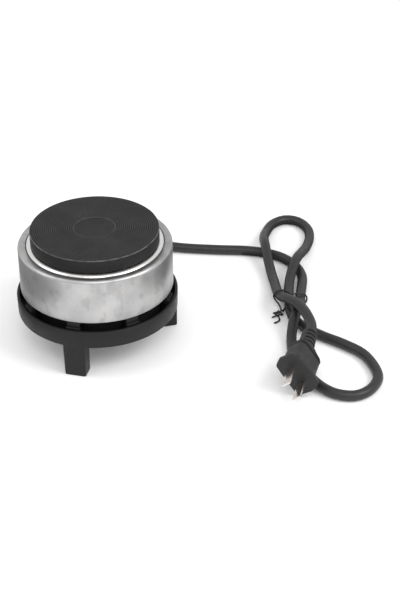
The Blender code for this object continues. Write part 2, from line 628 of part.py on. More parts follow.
TIE_ROUTE = [
    (126.6, 8.2, 0.8), (129.8, 10.2, 0.8), (130.6, 14.2, 0.8), (130, 18.6, 0.8), (132, 21.6, 1.6),
    (132.2, 23.4, 3.2), (130.5, 25.4, 6), (127.5, 27, 9.6), (126.9, 27.2, 12.6), (128.8, 27, 16),
    (132.6, 27.2, 17.1), (136.2, 28.4, 15), (139.9, 30.4, 11.6), (144.8, 31.8, 11), (149.9, 32.4, 9.8),
    (151.8, 32.8, 6), (150.9, 33, 2.2), (147.8, 32.8, 0.9), (138, 31, 0.8), (135.2, 27, 0.8),
    (134.2, 22.6, 0.8), (133.4, 17.6, 0.8),
]
PLUG_FACE = Vector((0.1370, -0.0816, 0.0182))
PLUG_OUT = Vector((-0.245, -0.969, -0.02))
PLUG_ACROSS = Vector((0.555, -0.15, -0.818))
BLADE_SPACING = 12.7 * MM
BLADE = (1.5 * MM, 6.35 * MM, 18.2 * MM)
BLADE_DEPTH = 7 * MM
PLUG_LENGTH = 50 * MM


def plug_frame():
    out = PLUG_OUT.normalized()
    across = (PLUG_ACROSS - PLUG_ACROSS.dot(out) * out).normalized()
    up = out.cross(across)
    turn = Matrix((across, up, out)).transposed().to_4x4()
    return Matrix.Translation(PLUG_FACE) @ turn


def make_plug():
    frame = plug_frame()
    outline = [(-15.8, -4), (-12.6, -8.6), (11.8, -8.9), (15, -5.8), (15.9, 2), (13, 9.4), (3, 10.8),
               (-11.6, 9.6), (-15.4, 4)]
    flange_deep = 4 * MM
    curve = bpy.data.curves.new("plug_body", "CURVE")
    curve.dimensions = "2D"
    curve.fill_mode = "BOTH"
    curve.extrude = flange_deep / 2
    spline = curve.splines.new("POLY")
    spline.points.add(len(outline) - 1)
    for point, (x, y) in zip(spline.points, outline):
        point.co = (x * MM, y * MM, -flange_deep / 2, 1)
    spline.use_cyclic_u = True
    body = as_mesh(place(bpy.data.objects.new("plug_body", curve), PARTS))
    body.data.materials.append(BLACK_RUBBER)
    body.data.transform(frame)

    sections = [(2, 10.9, 7.9, 4), (22.6, 9.5, 6.9, 3.5), (23, 10.1, 7.5, 3.5), (24.6, 10.1, 7.5, 3.5),
                (25, 9, 6.6, 3.2), (28, 7.4, 6.3, 2.6), (32, 5.6, 5.6, 2)]

    def grip(bm):
        rings = []
        for back, half_x, half_y, power in sections:
            ring = []
            for n in range(SMALL):
                a = 2 * math.pi * n / SMALL
                x, y = math.cos(a), math.sin(a)
                ring.append(bm.verts.new((math.copysign(abs(x) ** (2 / power), x) * half_x * MM,
                                          math.copysign(abs(y) ** (2 / power), y) * half_y * MM, -back * MM)))
            rings.append(ring)
        for low, high in zip(rings, rings[1:]):
            for n in range(SMALL):
                bm.faces.new((low[n], low[(n + 1) % SMALL], high[(n + 1) % SMALL], high[n]))
        bm.faces.new(rings[0])
        bm.faces.new(rings[-1])
        bmesh.ops.transform(bm, matrix=frame, verts=bm.verts)
    core = mesh_object("join_plug_grip", grip, CUTTERS)
    sleeve_start, groove_start, groove_step = -30.5 * MM, -33.8 * MM, 4.4 * MM
    profile = [(0, sleeve_start), (5.9 * MM, sleeve_start)]
    for n in range(3):
        low = groove_start - n * groove_step
        radius = (5.8 - 0.3 * n) * MM
        inner = radius - 0.9 * MM
        profile += [(radius, low + 1.1 * MM), (inner, low + 0.8 * MM), (inner, low + 0.2 * MM),
                    (radius - 0.25 * MM, low)]
    profile += [(CORD_RADIUS + 0.7 * MM, -PLUG_LENGTH), (0, -PLUG_LENGTH)]
    sleeve = turned("join_plug_sleeve", profile, CUTTERS, steps=SMALL)
    sleeve.matrix_world = frame
    join(body, [core, sleeve])
    thick, wide, long = BLADE
    for side, name in ((-1, "left"), (1, "right")):
        x = side * BLADE_SPACING / 2

        def blade(bm, x=x):
            bmesh.ops.create_cube(bm, size=1, matrix=Matrix.Translation((x, 0, (long - BLADE_DEPTH) / 2))
                                  @ Matrix.Diagonal((thick, wide, long + BLADE_DEPTH, 1)))
            tip = [e for e in bm.edges if all(v.co.z > long / 2 for v in e.verts)]
            bmesh.ops.bevel(bm, geom=tip, offset=0.5 * MM, segments=1, affect="EDGES")
            bmesh.ops.transform(bm, matrix=frame, verts=bm.verts)

        def slot(bm, x=x):
            bmesh.ops.create_cube(bm, size=1, matrix=Matrix.Translation((x, 0, 0))
                                  @ Matrix.Diagonal((thick + 2 * GAP, wide + 2 * GAP,
                                                     2 * (BLADE_DEPTH + GAP), 1)))
            bmesh.ops.transform(bm, matrix=frame, verts=bm.verts)
        mesh_object(f"plug_blade_{name}", blade, PARTS, NICKEL)
        cut(body, [mesh_object(f"cut_blade_{name}", slot, CUTTERS)])


TIE_RADIUS = 0.6 * MM


def make_cord():
    route = [Vector(p) * MM for p in CORD_ROUTE]
    frame = plug_frame()
    end = frame @ Vector((0, 0, -PLUG_LENGTH - 1.5 * GAP))
    before = frame @ Vector((0, 0, -PLUG_LENGTH - 4.5 * MM))
    path = smooth_path(route[1:] + [before], 12 * MM)
    tube("power_cord", [route[0]] + path + [end], CORD_RADIUS, PARTS, BLACK_RUBBER)
    tie = [Vector(p) * MM for p in TIE_ROUTE]
    tube("twist_tie", smooth_path(tie, 3 * MM), TIE_RADIUS, PARTS, BLACK_PLASTIC)


make_plate()
make_coil()
make_plate_back()
make_clamp()
make_heat_shield()
make_shell()
make_thermostat()
make_base()
make_base_screws()
make_cord_entry()
make_cord_clamp()
make_terminal_block()
make_wires()
make_plug()
make_cord()
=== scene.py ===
# %% [markdown]
# # A small electric hot plate
# The real object is a cast iron cooking plate in a steel ring and a drawn steel shell, on a black
# moulded base with three legs. A rubber-sheathed lead lies beside it, folded and tied, with its plug.
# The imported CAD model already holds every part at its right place. This lesson loads it, builds finer
# pieces for what shows, and gives every part a finish.

import math

import bmesh
import bpy
from mathutils import Matrix, Vector


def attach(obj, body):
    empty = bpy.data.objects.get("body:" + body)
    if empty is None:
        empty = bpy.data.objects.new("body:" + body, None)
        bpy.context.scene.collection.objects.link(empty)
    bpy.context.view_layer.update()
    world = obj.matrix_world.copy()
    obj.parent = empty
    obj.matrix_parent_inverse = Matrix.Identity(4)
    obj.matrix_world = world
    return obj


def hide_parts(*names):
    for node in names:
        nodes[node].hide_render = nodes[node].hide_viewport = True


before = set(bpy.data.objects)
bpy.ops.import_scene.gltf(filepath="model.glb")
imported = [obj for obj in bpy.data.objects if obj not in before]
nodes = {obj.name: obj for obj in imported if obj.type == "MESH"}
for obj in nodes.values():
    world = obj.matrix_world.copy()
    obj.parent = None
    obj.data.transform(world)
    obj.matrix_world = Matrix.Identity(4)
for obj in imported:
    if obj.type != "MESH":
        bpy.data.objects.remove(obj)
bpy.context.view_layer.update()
MM = 0.001

# %% [markdown]
# The camera comes first, because the lead is laid out for its view. It stands about a metre in front
# and looks down by a third of a right angle, with a long lens, so the round plate keeps a calm
# ellipse. A camera object could be aimed with a constraint; a fixed turn is simpler and never moves.

# %% The camera
LENS = 89.2
CAMERA_PLACE = (0.0727, -0.8914, 0.6031)
CAMERA_TILT = math.radians(57.1)
CAMERA_ROLL = -0.008

bpy.ops.object.camera_add(location=CAMERA_PLACE)
camera = bpy.context.object
camera_turn = Matrix.Rotation(CAMERA_TILT, 3, "X") @ Matrix.Rotation(CAMERA_ROLL, 3, "Z")
camera.rotation_euler = camera_turn.to_euler()
camera.data.lens = LENS
camera.data.clip_start = 10 * MM
bpy.context.scene.camera = camera
print("camera", round(camera.location.length, 3), "m from the origin")

# %% [markdown]
# Next the helpers that every finish uses. Colours are written as the hex values of a colour picker,
# and one function turns them into the linear values that the shaders work in. Another adds a node,
# sets its properties, and sets or links its inputs.

# %% Helpers for materials
def linear(hex_colour):
    """A hex colour as linear red, green and blue."""
    parts = [int(hex_colour[i:i + 2], 16) / 255 for i in (1, 3, 5)]
    return [p / 12.92 if p <= 0.04045 else ((p + 0.055) / 1.055) ** 2.4 for p in parts] + [1]


def add(made, kind, inputs=None, **settings):
    """Adds a node of that kind. An input that is a socket is linked, and any other is a value."""
    node = made.node_tree.nodes.new(kind)
    for name, value in settings.items():
        setattr(node, name, value)
    for name, value in (inputs or {}).items():
        if isinstance(value, bpy.types.NodeSocket):
            made.node_tree.links.new(value, node.inputs[name])
        else:
            node.inputs[name].default_value = value
    return node


def finish(name, colour, roughness, **values):
    """A material that starts from one colour and one roughness."""
    made = bpy.data.materials.new(name)
    made.use_nodes = True
    shader = made.node_tree.nodes["Principled BSDF"]
    shader.inputs["Base Color"].default_value = linear(colour)
    shader.inputs["Roughness"].default_value = roughness
    for key, value in values.items():
        shader.inputs[key.replace("_", " ")].default_value = value
    return made


def feed(made, **links):
    """Links sockets to the shader's inputs."""
    shader = made.node_tree.nodes["Principled BSDF"]
    for key, socket in links.items():
        made.node_tree.links.new(socket, shader.inputs[key.replace("_", " ")])


def place_on(made, scale=(1, 1, 1)):
    """Object coordinates in metres, stretched by scale."""
    where = add(made, "ShaderNodeTexCoord").outputs["Object"]
    return add(made, "ShaderNodeMapping", {"Vector": where, "Scale": scale}).outputs["Vector"]


def noise(made, size, scale=(1, 1, 1), detail=3.0):
    """A soft random pattern whose blotches are about size metres wide."""
    inputs = {"Vector": place_on(made, scale), "Scale": 1 / size, "Detail": detail}
    return add(made, "ShaderNodeTexNoise", inputs).outputs["Fac"]


def spread(made, factor, low, high, start=0.3, end=0.7):
    """A number that goes from low to high as the factor goes from start to end."""
    inputs = {"Value": factor, "From Min": start, "From Max": end, "To Min": low, "To Max": high}
    return add(made, "ShaderNodeMapRange", inputs).outputs["Result"]


def calculate(made, operation, *values):
    """The result of a Math node on shader numbers or plain numbers."""
    return add(made, "ShaderNodeMath", dict(enumerate(values)), operation=operation).outputs["Value"]


def blend_colours(made, factor, first, second):
    """A colour between two. The first is a hex colour or a socket, and the second a hex colour."""
    mix = add(made, "ShaderNodeMix", data_type="RGBA")
    made.node_tree.links.new(factor, mix.inputs["Factor"])
    first_in, second_in = [socket for socket in mix.inputs if socket.type == "RGBA"]
    if isinstance(first, bpy.types.NodeSocket):
        made.node_tree.links.new(first, first_in)
    else:
        first_in.default_value = linear(first)
    second_in.default_value = linear(second)
    return next(socket for socket in mix.outputs if socket.type == "RGBA")


def dent(made, height, depth, strength=1.0):
    """Bump from a height pattern, depth metres deep."""
    inputs = {"Height": height, "Distance": depth, "Strength": strength}
    return add(made, "ShaderNodeBump", inputs).outputs["Normal"]


print("mid grey in linear values:", [round(part, 3) for part in linear("#808080")])

# %% [markdown]
# The cooking plate is cast iron, turned on its face and painted with a thin heat-proof black. The
# paint is a soft-gloss dielectric that looks dark grey where light skims it. Fine mottling stands for
# the sandy skin that shows through. Pans rub the rim and the lip of the centre paler. A painted
# highlight makes the ridges paler, and painted shade darkens the grooves. These marks follow the
# turning, so they are drawn from the distance to the axis.

# %% Distance from the plate's axis
CENTRE_DISC = 14.3 * MM
FIRST_GROOVE = 1.5 * MM
GROOVE_PITCH = 1.45 * MM
LAST_RIDGE = 43.2 * MM
TOP_SKIN = 86.1 * MM

iron_black = finish("heatproof_black_on_cast_iron", "#222222", 0.5, IOR=1.5, Specular_IOR_Level=0.26)
where = add(iron_black, "ShaderNodeTexCoord").outputs["Object"]
flat = add(iron_black, "ShaderNodeVectorMath", {0: where, 1: (1, 1, 0)}, operation="MULTIPLY")
from_axis = add(iron_black, "ShaderNodeVectorMath", {0: flat.outputs["Vector"]}, operation="LENGTH")
radius = from_axis.outputs["Value"]
height = add(iron_black, "ShaderNodeSeparateXYZ", {"Vector": where}).outputs["Z"]
grooves_in = (CENTRE_DISC + FIRST_GROOVE) / GROOVE_PITCH
groove_number = calculate(iron_black, "MULTIPLY_ADD", radius, 1 / GROOVE_PITCH, -grooves_in)
share = calculate(iron_black, "FLOORED_MODULO", groove_number, 1.0)
from_ridge = calculate(iron_black, "ABSOLUTE", calculate(iron_black, "SUBTRACT", share, 0.5))
print("first groove at", round(CENTRE_DISC + FIRST_GROOVE, 4), "m, then every", round(GROOVE_PITCH, 5), "m")

# %% [markdown]
# The marks are laid over the paint one after the other: first the painted highlight on the ridges,
# then the painted shade in the grooves, then the worn lip of the centre and the rim. Each is a mask
# from 0 to 1 times what breaks it up.

# %% Heat-proof black on cast iron
on_top = spread(iron_black, height, 0, 1, TOP_SKIN, TOP_SKIN + 0.3 * MM)
outside = spread(iron_black, radius, 0, 1, CENTRE_DISC, CENTRE_DISC + MM)
inside = spread(iron_black, radius, 1, 0, LAST_RIDGE, LAST_RIDGE + 0.6 * MM)
turned = calculate(iron_black, "MULTIPLY", calculate(iron_black, "MULTIPLY", outside, inside), on_top)
# Painted highlight: the ridges are drawn paler. Painted shade: the grooves are drawn darker.
ridge_highlight = calculate(iron_black, "MULTIPLY", spread(iron_black, from_ridge, 0.7, 0, 0.05, 0.25), turned)
groove_shade = calculate(iron_black, "MULTIPLY", spread(iron_black, from_ridge, 0, 0.9, 0.22, 0.42), turned)

lip_in = spread(iron_black, radius, 0, 1, CENTRE_DISC - 0.3 * MM, CENTRE_DISC - 0.1 * MM)
lip_out = spread(iron_black, radius, 1, 0, CENTRE_DISC + 0.3 * MM, CENTRE_DISC + 0.6 * MM)
lip = calculate(iron_black, "MULTIPLY", calculate(iron_black, "MULTIPLY", lip_in, lip_out), on_top)
lip = calculate(iron_black, "MULTIPLY", lip, spread(iron_black, noise(iron_black, 4 * MM), 0.2, 0.8))
rim = calculate(iron_black, "MULTIPLY", spread(iron_black, radius, 0, 1, 44.45 * MM, 44.65 * MM), on_top)
rim = calculate(iron_black, "MULTIPLY", rim, spread(iron_black, noise(iron_black, 6 * MM), 0.15, 1))

grain = noise(iron_black, 1.2 * MM, detail=4.0)
patches = noise(iron_black, 14 * MM)
paint = blend_colours(iron_black, spread(iron_black, grain, 0, 1), "#131313", "#1f1f1f")
# The #363636 mark is a painted highlight on the ridges and the #060606 mark is painted shade in the
# grooves; the lip and rim are paler from wear.
for mark, colour in ((ridge_highlight, "#363636"), (groove_shade, "#060606"), (lip, "#4a4a4a"), (rim, "#666666")):
    paint = blend_colours(iron_black, mark, paint, colour)
feed(iron_black, Base_Color=paint,
     Roughness=spread(iron_black, patches, 0.44, 0.58),
     Normal=dent(iron_black, grain, 0.03 * MM, 0.6))
print(iron_black.name, len(iron_black.node_tree.nodes), "nodes")

# %% [markdown]
# The shell is drawn stainless steel that was rolled bright and handled since: a metal with a middling
# roughness, faint lines round it from polishing, dull smudges a centimetre or two wide, and smaller
# stains from heat. Smudges change the roughness as well as the colour, as grease on steel does. The
# ring round the plate is the same steel with a brighter polish.

# %% Stainless steel
steel_satin = finish("drawn_stainless_steel", "#c6c5c5", 0.36, Metallic=1.0)
smudges = noise(steel_satin, 17 * MM, detail=2.5)
stains = noise(steel_satin, 7 * MM, scale=(1, 1, 0.7), detail=3.0)
lines = noise(steel_satin, 0.5 * MM, scale=(0.02, 0.02, 1), detail=2.0)
sheen = blend_colours(steel_satin, spread(steel_satin, smudges, 0, 1), "#adadae", "#c2c1c0")
sheen = blend_colours(steel_satin, spread(steel_satin, stains, 0, 0.5, 0.53, 0.63), sheen, "#9d9b9a")
feed(steel_satin, Base_Color=sheen,
     Roughness=spread(steel_satin, smudges, 0.42, 0.32),
     Normal=dent(steel_satin, lines, 0.01 * MM, 0.35))

steel_bright = finish("polished_stainless_steel", "#eceae8", 0.28, Metallic=1.0)
feed(steel_bright, Roughness=spread(steel_bright, noise(steel_bright, 8 * MM), 0.2, 0.3))
print(steel_satin.name, "and", steel_bright.name)

# %% [markdown]
# The base is injection-moulded, heat-proof black plastic. Its mould was spark-eroded, which leaves a
# fine even grain. The real grain is near a tenth of a millimetre; it is drawn at 0.6 mm so that it
# still shows as a soft matt. The lead's sheath is smoother and a little paler, the plug is duller, and
# the tie's coat is glossy and quite black. One bump and one roughness pattern tell them apart.

# %% Black moulding and rubber
black_plastic = finish("grained_black_polyamide", "#161616", 0.46, IOR=1.53, Specular_IOR_Level=0.26)
mould_grain = noise(black_plastic, 0.6 * MM, detail=2.0)
feed(black_plastic,
     Roughness=spread(black_plastic, noise(black_plastic, 9 * MM), 0.42, 0.52),
     Normal=dent(black_plastic, mould_grain, 0.04 * MM, 0.5))

cord_rubber = finish("black_pvc_sheath", "#232323", 0.42, IOR=1.52, Specular_IOR_Level=0.4)
sheath = noise(cord_rubber, 3 * MM, detail=3.0)
feed(cord_rubber,
     Base_Color=blend_colours(cord_rubber, spread(cord_rubber, sheath, 0, 1), "#202020", "#282828"),
     Roughness=spread(cord_rubber, sheath, 0.37, 0.48),
     Normal=dent(cord_rubber, noise(cord_rubber, 0.8 * MM), 0.03 * MM, 0.4))

plug_rubber = finish("black_moulded_pvc", "#1f1f1f", 0.5, IOR=1.52, Specular_IOR_Level=0.35)
feed(plug_rubber,
     Roughness=spread(plug_rubber, noise(plug_rubber, 4 * MM), 0.45, 0.56),
     Normal=dent(plug_rubber, noise(plug_rubber, 0.7 * MM), 0.04 * MM, 0.5))

tie_coat = finish("gloss_black_wire_coat", "#0c0c0c", 0.3)
print(len(bpy.data.materials), "materials so far")

# %% [markdown]
# The small parts inside have finishes of their own: zinc plate on the pressings and screws, nickel on
# the blades and pins, bare brass on the contacts, unglazed steatite, chalky magnesia cement, and soft
# sleeves on the wires. They differ in colour, in polish and in being metal or not, so one function
# that lets colour and roughness wander serves them all.

# %% Finishes of the small parts
def speckled(name, first, second, size, rough_low, rough_high, **values):
    """A finish whose colour and roughness wander a little over size metres."""
    made = finish(name, first, rough_low, **values)
    pattern = noise(made, size)
    feed(made, Base_Color=blend_colours(made, spread(made, pattern, 0, 1), first, second),
         Roughness=spread(made, pattern, rough_low, rough_high))
    return made


zinc = speckled("bright_zinc_plate", "#b4b8bc", "#9fa4a8", 2 * MM, 0.3, 0.42, Metallic=1.0)
nickel = speckled("nickel_plated_brass", "#e2ddd8", "#d6d0ca", 4 * MM, 0.2, 0.28, Metallic=1.0)
brass = speckled("bare_brass", "#c9a95a", "#b8964a", 3 * MM, 0.28, 0.4, Metallic=1.0)
bimetal = speckled("rolled_bimetal", "#a8a49c", "#98948c", 3 * MM, 0.3, 0.4, Metallic=1.0)
steatite = speckled("unglazed_steatite", "#e6e1d4", "#dcd6c6", 3 * MM, 0.6, 0.75)
cement = speckled("magnesia_cement", "#c9c0ab", "#b3a992", 1.5 * MM, 0.85, 0.98)
brown_sleeve = speckled("brown_silicone_sleeve", "#4a2413", "#552b18", 3 * MM, 0.5, 0.6)
blue_sleeve = speckled("blue_silicone_sleeve", "#1d4a86", "#245293", 3 * MM, 0.5, 0.6)
print(len(bpy.data.materials), "materials in all")

# %% [markdown]
# Then the helpers for modelling. Blender's operators act on whatever is selected, so each step starts
# by deselecting everything. Round parts are made the way a lathe makes them: one point is extruded
# along the outline, and the outline is spun round the axis.

# %% Helpers for modelling
FINE = 160


def clear_selection():
    """Leaves edit mode, and deselects everything."""
    if bpy.context.object and bpy.context.object.mode != "OBJECT":
        bpy.ops.object.mode_set(mode="OBJECT")
    bpy.ops.object.select_all(action="DESELECT")


def take(piece):
    """Makes piece the only one selected, and the active one."""
    clear_selection()
    piece.select_set(True)
    bpy.context.view_layer.objects.active = piece
    return piece


def fresh(name):
    """Names the primitive that was just added, and puts its place into its mesh."""
    piece = bpy.context.object
    piece.name = piece.data.name = name
    bpy.ops.object.transform_apply(location=True, rotation=True, scale=True)
    return piece


def settle(piece, matrix):
    """Moves a piece by matrix and keeps the move in its mesh."""
    take(piece)
    piece.matrix_world = matrix @ piece.matrix_world
    bpy.ops.object.transform_apply(location=True, rotation=True, scale=True)
    return piece


def pick(piece, kind, test):
    """In edit mode, selects the verts, edges or faces that pass the test."""
    bpy.ops.object.mode_set(mode="EDIT")
    bpy.ops.mesh.select_mode(type=kind)
    bpy.ops.mesh.select_all(action="DESELECT")
    shape = bmesh.from_edit_mesh(piece.data)
    parts = {"VERT": shape.verts, "EDGE": shape.edges, "FACE": shape.faces}[kind]
    for part in parts:
        if test(part):
            part.select_set(True)
    if kind == "VERT":
        shape.select_flush(True)
    else:
        shape.select_flush_mode()
    bmesh.update_edit_mesh(piece.data)


def use_modifier(piece, kind, **settings):
    """Adds a modifier, sets it and applies it."""
    take(piece)
    modifier = piece.modifiers.new(kind.title(), kind)
    for name, value in settings.items():
        setattr(modifier, name, value)
    bpy.ops.object.modifier_apply(modifier=modifier.name)
    return piece


def soften(piece, width, segments=3, angle=30):
    """Rounds the sharp edges by width."""
    return use_modifier(piece, "BEVEL", width=width, segments=segments, limit_method="ANGLE",
                        angle_limit=math.radians(angle), harden_normals=False)


def shade(piece, angle=32):
    """Smooth shading, except across edges that turn by more than the angle in degrees."""
    take(piece)
    bpy.ops.object.shade_smooth_by_angle(angle=math.radians(angle))
    return piece


def spun(name, outline, steps=FINE, loop=False):
    """Spins an outline of (radius, height) points round Z."""
    clear_selection()
    bpy.ops.mesh.primitive_plane_add(size=MM, location=(0, 0, 0))
    piece = fresh(name)
    bpy.ops.object.mode_set(mode="EDIT")
    bpy.ops.mesh.select_mode(type="VERT")
    bpy.ops.mesh.select_all(action="SELECT")
    bpy.ops.mesh.merge(type="CENTER")
    points = [Vector((r, 0, z)) for r, z in outline + (outline[:1] if loop else [])]
    bpy.ops.transform.translate(value=points[0])
    for before, after in zip(points, points[1:]):
        bpy.ops.mesh.extrude_vertices_move(TRANSFORM_OT_translate={"value": after - before})
    bpy.ops.mesh.select_all(action="SELECT")
    bpy.ops.mesh.remove_doubles(threshold=0.001 * MM)
    bpy.ops.mesh.select_all(action="SELECT")
    bpy.ops.mesh.spin(steps=steps, angle=math.tau, center=(0, 0, 0), axis=(0, 0, 1))
    bpy.ops.mesh.select_all(action="SELECT")
    bpy.ops.mesh.remove_doubles(threshold=0.001 * MM)
    bpy.ops.mesh.normals_make_consistent(inside=False)
    bpy.ops.object.mode_set(mode="OBJECT")
    return piece


def block(name, size, centre):
    """A cube primitive at its size and place."""
    clear_selection()
    bpy.ops.mesh.primitive_cube_add(size=1, location=centre, scale=size)
    return fresh(name)


def copies(piece, count, first=0.0):
    """Turned copies of a piece about Z, evenly round the circle, each with its own mesh."""
    made = []
    for n in range(count):
        take(piece)
        bpy.ops.object.duplicate(linked=False)
        turn = math.radians(first + 360 / count * n)
        made.append(settle(bpy.context.object, Matrix.Rotation(turn, 4, "Z")))
    take(piece)
    bpy.ops.object.delete()
    return made


def merged(pieces):
    """Joins pieces into the first one."""
    take(pieces[0])
    for piece in pieces[1:]:
        piece.select_set(True)
    bpy.ops.object.join()
    return pieces[0]


def combine(piece, other, operation):
    """A boolean of two closed pieces. The other one is used up."""
    use_modifier(piece, "BOOLEAN", object=other, operation=operation, solver="EXACT", use_self=True)
    take(other)
    bpy.ops.object.delete()
    return piece


def dress(piece, made, body, slot, *stands_for):
    """Gives a finished piece its material and its body, and hides the CAD nodes that it stands for. The
    slot is not used.
    """
    piece.data.materials.clear()
    piece.data.materials.append(made)
    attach(piece, body)
    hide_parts(*stands_for)
    size = " x ".join(f"{length / MM:.1f}" for length in piece.dimensions)
    faces = f"{len(piece.data.polygons)} faces" if piece.type == "MESH" else "a curve"
    print(f"{piece.name}: {size} mm, {faces}")
    return piece


print("round parts have", FINE, "steps")

# %% [markdown]
# The lead is a 7.4 mm round cord. It leaves the base at the back through a ringed sleeve, sinks to the
# table, and is folded to and fro beside the hot plate, where a wire tie holds three of its runs. Its
# route is a list of points, and a smooth curve through them is what the round section follows.

# %% The lead's route
CORD_RADIUS = 3.7 * MM
CORD_HEIGHT = 32.3 * MM
RELIEF_END = 79 * MM
CORD_ROUTE = [
    (0, 86, 32.3), (3.4, 96.5, 28.6), (13, 106.5, 19.8), (28, 111.8, 10.6), (44, 112.4, 5.4),
    (62, 110.2, 3.9), (88, 107.3, 3.9), (108, 105.8, 3.9), (124, 101.8, 3.9), (137.6, 93.6, 3.9),
    (147, 80, 3.9), (150.3, 66, 4.1), (149, 50, 5.2), (147.3, 37.5, 5.7), (146.8, 28, 6.3),
    (146.2, 18.5, 9.4), (143.4, 9, 11.6), (140.6, -1, 11.4), (138.2, -12, 7), (137.4, -22, 4.2),
    (137.8, -34, 3.9), (140.6, -46, 3.9), (146.4, -60.5, 3.9), (154.4, -74.5, 3.9), (164.6, -83.3, 3.9),
    (177.6, -85.2, 3.9), (189, -77, 3.9), (194.6, -61.3, 3.9), (188, -38.3, 3.9), (174.5, -24.3, 3.9),
    (160, -13.8, 3.9), (149, -3.6, 3.9), (141.6, 7.6, 3.9), (138.8, 20, 4.4), (138.6, 34, 5.7),
    (139.2, 47, 6), (141, 60, 8), (144.2, 71.5, 11.4), (147.6, 82, 11.8), (151.6, 94, 8.6),
    (156, 108, 5), (159.6, 123, 3.9), (159.4, 137.6, 3.9), (152.6, 150, 3.9), (141.6, 153.4, 3.9),
    (131.2, 146, 3.9), (125.6, 131.5, 4.8), (123.3, 115, 9.6), (123.6, 101, 11.9), (125.2, 84, 8.8),
    (127.2, 68, 6), (129, 52, 6.8), (130.2, 37, 9.4), (132, 25.5, 12.8), (138, 13, 17.9),
    (143.7, 2.2, 20.2), (148.2, -9.4, 20.4), (150.9, -21.8, 19.6),
]
PLUG_FACE = Vector((0.1370, -0.0816, 0.0182))
PLUG_OUT = Vector((-0.245, -0.969, -0.02)).normalized()
PLUG_ACROSS = Vector((0.555, -0.15, -0.818))
PLUG_LENGTH = 50 * MM
print(len(CORD_ROUTE), "points on the route")

# %% [markdown]
# A cord bends evenly, so the curve has to pass through every point without a corner, and then be cut
# into steps of one length. The section that follows it is round with closed ends, as a cut cord is.

# %% Smooth curves
def plug_frame():
    """The turn and place of the plug: X across the blades, Z out of its face."""
    across = (PLUG_ACROSS - PLUG_ACROSS.dot(PLUG_OUT) * PLUG_OUT).normalized()
    turn = Matrix((across, PLUG_OUT.cross(across), PLUG_OUT)).transposed().to_4x4()
    return Matrix.Translation(PLUG_FACE) @ turn


def smooth_path(route, spacing):
    """Points about spacing apart on a smooth curve through the route's points."""
    points = [Vector(p) for p in route]
    points = [2 * points[0] - points[1]] + points + [2 * points[-1] - points[-2]]
    fine = []
    for a, b, c, d in zip(points, points[1:], points[2:], points[3:]):
        for step in range(16):
            t = step / 16
            fine.append(0.5 * (2 * b + (c - a) * t + (2 * a - 5 * b + 4 * c - d) * t ** 2
                               + (3 * b - a - 3 * c + d) * t ** 3))
    fine.append(points[-2])
    lengths = [0.0]
    for a, b in zip(fine, fine[1:]):
        lengths.append(lengths[-1] + (b - a).length)
    count = max(2, round(lengths[-1] / spacing))
    path, i = [], 0
    for n in range(count + 1):
        target = lengths[-1] * n / count
        while i < len(fine) - 2 and lengths[i + 1] < target:
            i += 1
        share = (target - lengths[i]) / (lengths[i + 1] - lengths[i])
        path.append(fine[i].lerp(fine[i + 1], share))
    return path


def wire(name, points, radius, resolution=8):
    """A round section that follows the points, as one open spline with closed ends."""
    data = bpy.data.curves.new(name, "CURVE")
    data.dimensions = "3D"
    data.bevel_depth = radius
    data.bevel_resolution = resolution
    data.use_fill_caps = True
    spline = data.splines.new("POLY")
    spline.points.add(len(points) - 1)
    for point, place in zip(spline.points, points):
        point.co = (*place, 1)
    spline.use_smooth = True
    made = bpy.data.objects.new(name, data)
    bpy.context.scene.collection.objects.link(made)
    return made


print("the plug points along", [round(part, 2) for part in PLUG_OUT])

# %% [markdown]
# The lead's last stretch runs along the plug's own axis, so that it goes straight into the sleeve.

# %% The lead
on_axis = [plug_frame() @ Vector((0, 0, -back * MM)) for back in (54.5, 49.4)]
start = Vector((0, RELIEF_END - 0.25 * MM, CORD_HEIGHT))
route = [Vector(p) * MM for p in CORD_ROUTE]
cord_line = [start] + smooth_path(route + on_axis[:1], 4 * MM) + on_axis[1:]
lead = dress(wire("lead", cord_line, CORD_RADIUS), cord_rubber, "hot_plate", "black_rubber", "power_cord")

# %% [markdown]
# The cooking plate is turned: a flat face with nineteen fine grooves round a plain centre, a
# small break at the rim, a straight side, and a step below that sits in the steel ring. Bump could
# fake the grooves, but real ones catch the light from every side, so they are in the outline.

# %% The cooking plate
PLATE_TOP = 87 * MM
PLATE_RADIUS = 45 * MM
PLATE_LOW = 77.2 * MM
PLATE_STEP = 43.6 * MM
PLATE_BACK = 76 * MM
CHANNEL = (16 * MM, 40 * MM, 82 * MM)
STUD_HOLE = 2.8 * MM
RECESS = 0.4 * MM
GROOVE_DEPTH = 0.2 * MM
GROOVE_COUNT = 19

outline = [(0, PLATE_TOP - RECESS), (CENTRE_DISC - 0.6 * MM, PLATE_TOP - RECESS),
           (CENTRE_DISC, PLATE_TOP - 0.3 * MM), (CENTRE_DISC + 0.3 * MM, PLATE_TOP)]
for n in range(GROOVE_COUNT):
    middle = CENTRE_DISC + FIRST_GROOVE + n * GROOVE_PITCH
    outline += [(middle - 0.32 * MM, PLATE_TOP), (middle - 0.1 * MM, PLATE_TOP - GROOVE_DEPTH),
                (middle + 0.1 * MM, PLATE_TOP - GROOVE_DEPTH), (middle + 0.32 * MM, PLATE_TOP)]
outline += [(PLATE_RADIUS - 0.6 * MM, PLATE_TOP), (PLATE_RADIUS - 0.2 * MM, PLATE_TOP - 0.15 * MM),
            (PLATE_RADIUS, PLATE_TOP - 0.6 * MM), (PLATE_RADIUS, PLATE_LOW + 0.3 * MM),
            (PLATE_RADIUS - 0.3 * MM, PLATE_LOW), (PLATE_STEP, PLATE_LOW), (PLATE_STEP, PLATE_BACK)]
channel_in, channel_out, channel_top = CHANNEL
outline += [(channel_out, PLATE_BACK), (channel_out, channel_top), (channel_in, channel_top),
            (channel_in, PLATE_BACK), (STUD_HOLE, PLATE_BACK), (STUD_HOLE, channel_top), (0, channel_top)]
plate = shade(spun("cooking_plate", outline, 192), 20)
dress(plate, iron_black, "hot_plate", "cast_iron_plate", "hotplate")

